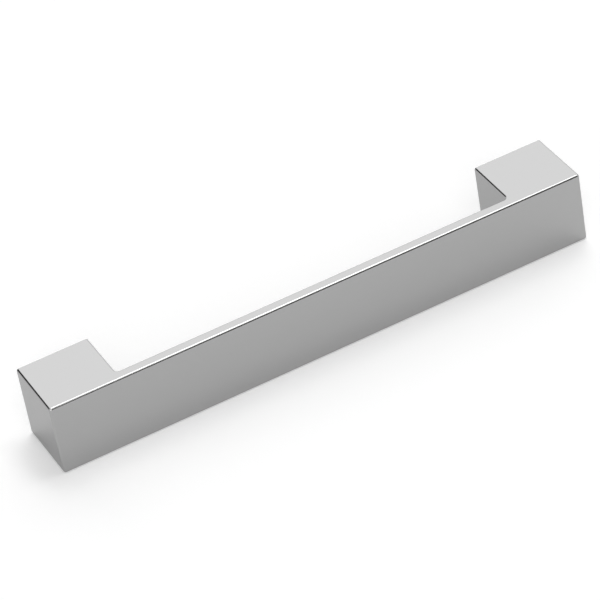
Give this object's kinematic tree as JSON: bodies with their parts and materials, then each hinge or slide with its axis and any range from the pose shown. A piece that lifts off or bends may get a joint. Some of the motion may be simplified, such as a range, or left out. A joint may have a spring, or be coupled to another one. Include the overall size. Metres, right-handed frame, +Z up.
{
  "type": "cabinet handle",
  "caption": "Square bridge handle for a cabinet door or drawer, cast in one piece: a flat bar in front of block-shaped feet that are tapped for screws from behind.",
  "frame": {"origin": "midway between the fixing holes, on the plane of the mounting faces", "axes": "+X along the bar, +Y out of the mounting faces into the door or drawer front, +Z up when the handle is fixed level"},
  "size_m": [0.184, 0.024, 0.025],
  "materials": {
    "satin_nickel": "fine satin-brushed nickel plating on a zinc die casting, clear-lacquered"
  },
  "bodies": {
    "root": {"handle": "satin_nickel"}
  },
  "joints": []
}
